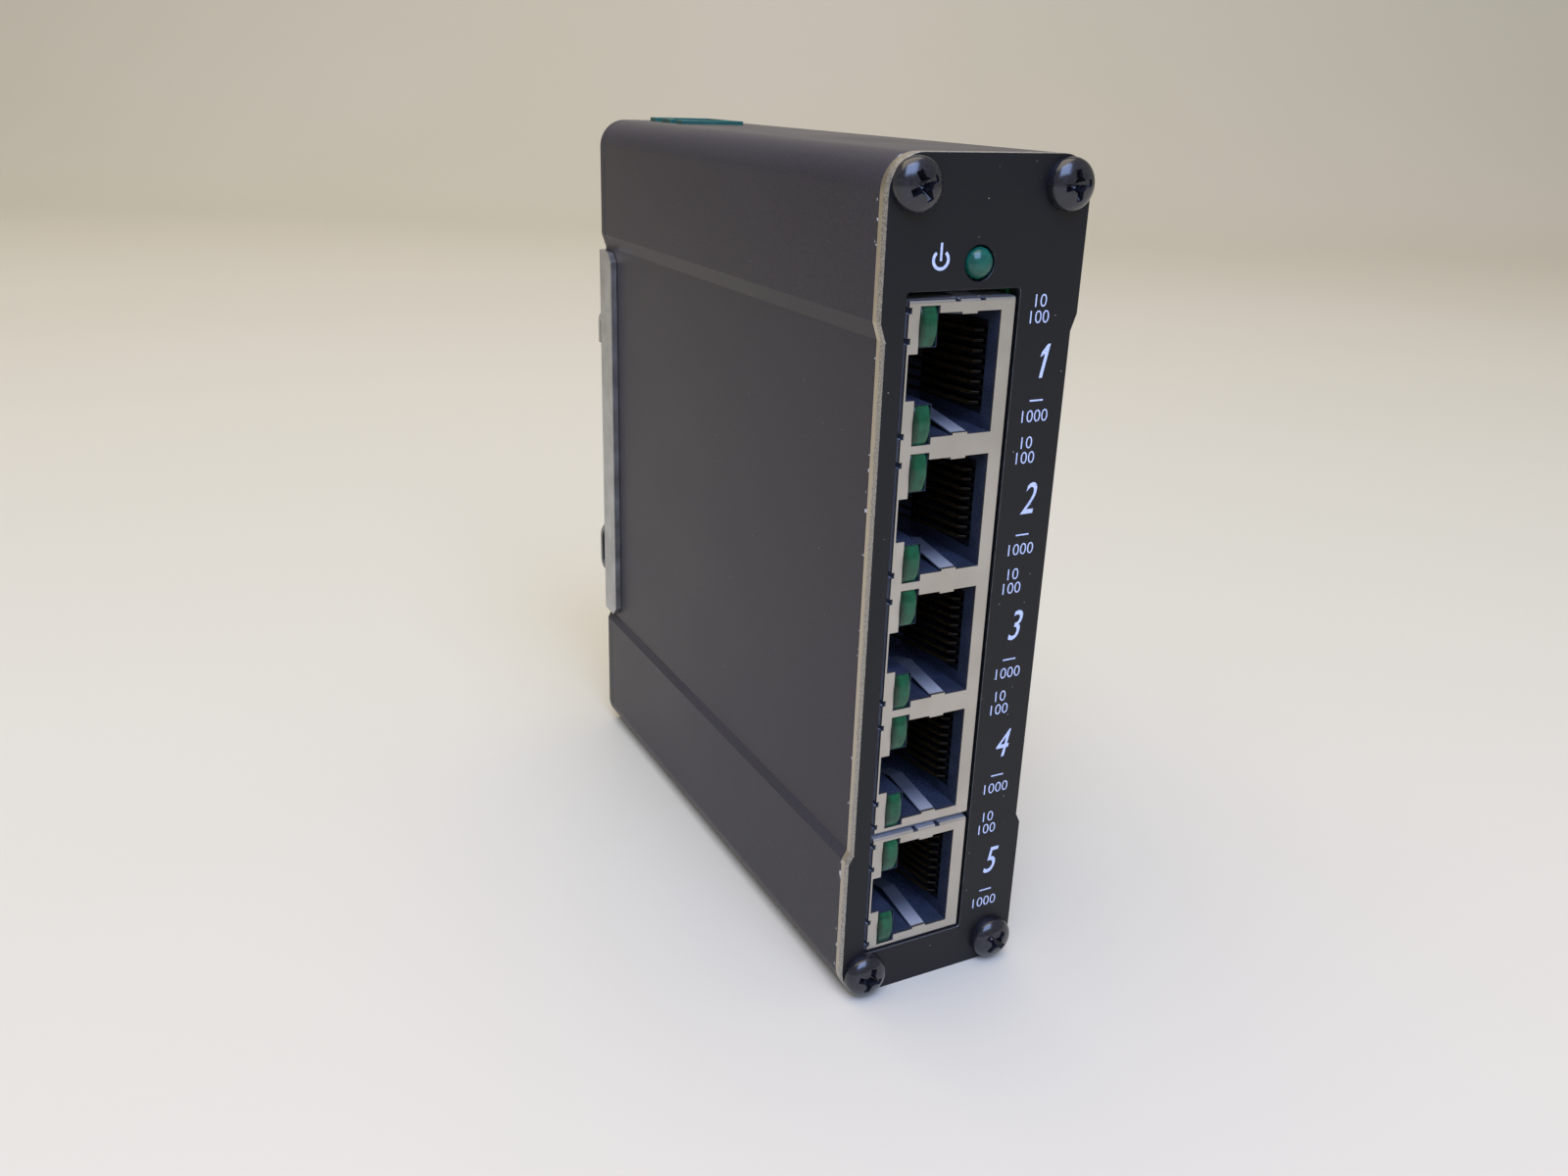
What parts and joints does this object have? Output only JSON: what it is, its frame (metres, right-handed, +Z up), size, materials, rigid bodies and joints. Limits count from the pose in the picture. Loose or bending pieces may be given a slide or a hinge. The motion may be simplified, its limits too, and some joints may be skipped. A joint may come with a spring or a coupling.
{
  "type": "din rail ethernet switch",
  "caption": "Slim black metal DIN rail Ethernet switch, with shielded network ports stacked up its narrow front face and a sprung rail clip behind.",
  "frame": {"origin": "middle of the footprint, at the height of the case's bottom end", "axes": "+Z up, +X to the right seen from the ports, +Y from the ports back to the rail"},
  "size_m": [0.023, 0.081, 0.0896],
  "materials": {
    "black_anodised_aluminium": "fine grained satin",
    "black_plate_paint": "matte black coating",
    "zinc_plated_steel": "zinc plated",
    "dark_zinc_steel": "zinc plated, duller",
    "spring_steel": "bright wire",
    "black_screw_steel": "black oxide, glossy",
    "nickel_plated_sheet": "nickel plated",
    "black_jack_plastic": "moulded",
    "gold_plated_contact": "gold plated",
    "tinned_pin": "tin plated",
    "green_lamp_epoxy": "tinted clear epoxy",
    "green_header_plastic": "moulded",
    "white_nylon": "moulded",
    "circuit_board_laminate": "solder mask",
    "black_chip_epoxy": "moulded",
    "capacitor_can": "drawn can",
    "crystal_can": "drawn can",
    "fuse_polymer": "coated",
    "thermal_silicone": "soft pad"
  },
  "bodies": {
    "switch": {"case_sleeve": "black_anodised_aluminium", "front_plate": "black_plate_paint", "rear_plate": "black_anodised_aluminium", "front_screws": "black_screw_steel", "rear_screws": "black_screw_steel", "rail_clip": "zinc_plated_steel", "rail_clip_screws": "zinc_plated_steel", "latch_spring": "spring_steel", "circuit_board": "circuit_board_laminate", "gang_jack_shield": "nickel_plated_sheet", "gang_jack_housing": "black_jack_plastic", "single_jack_shield": "nickel_plated_sheet", "single_jack_housing": "black_jack_plastic", "power_lamp": "green_lamp_epoxy", "power_lamp_holder": "white_nylon", "power_header": "green_header_plastic", "power_header_pins": "tinned_pin", "switch_chip": "black_chip_epoxy", "thermal_pad": "thermal_silicone", "memory_chip": "black_chip_epoxy", "crystal": "crystal_can", "voltage_regulator": "black_chip_epoxy", "power_inductor": "black_chip_epoxy", "input_capacitor": "capacitor_can", "output_capacitor": "capacitor_can", "input_diode": "black_chip_epoxy", "resettable_fuse": "fuse_polymer", "port_1_contacts": "gold_plated_contact", "port_1_contact_comb": "black_jack_plastic", "port_1_lamps": "green_lamp_epoxy", "port_1_transformer": "black_chip_epoxy", "port_2_contacts": "gold_plated_contact", "port_2_contact_comb": "black_jack_plastic", "port_2_lamps": "green_lamp_epoxy", "port_2_transformer": "black_chip_epoxy", "port_3_contacts": "gold_plated_contact", "port_3_contact_comb": "black_jack_plastic", "port_3_lamps": "green_lamp_epoxy", "port_3_transformer": "black_chip_epoxy", "port_4_contacts": "gold_plated_contact", "port_4_contact_comb": "black_jack_plastic", "port_4_lamps": "green_lamp_epoxy", "port_4_transformer": "black_chip_epoxy", "port_5_contacts": "gold_plated_contact", "port_5_contact_comb": "black_jack_plastic", "port_5_lamps": "green_lamp_epoxy", "port_5_transformer": "black_chip_epoxy"},
    "latch": {"rail_latch": "dark_zinc_steel"}
  },
  "joints": [
    {"name": "latch_slide", "type": "slide", "parent": "switch", "child": "latch", "axis": [0, 0, -1], "range_m": [0, 0.0043], "stiffness_N_per_m": 1500, "springref_m": -0.002, "deforming": ["latch_spring"]}
  ]
}
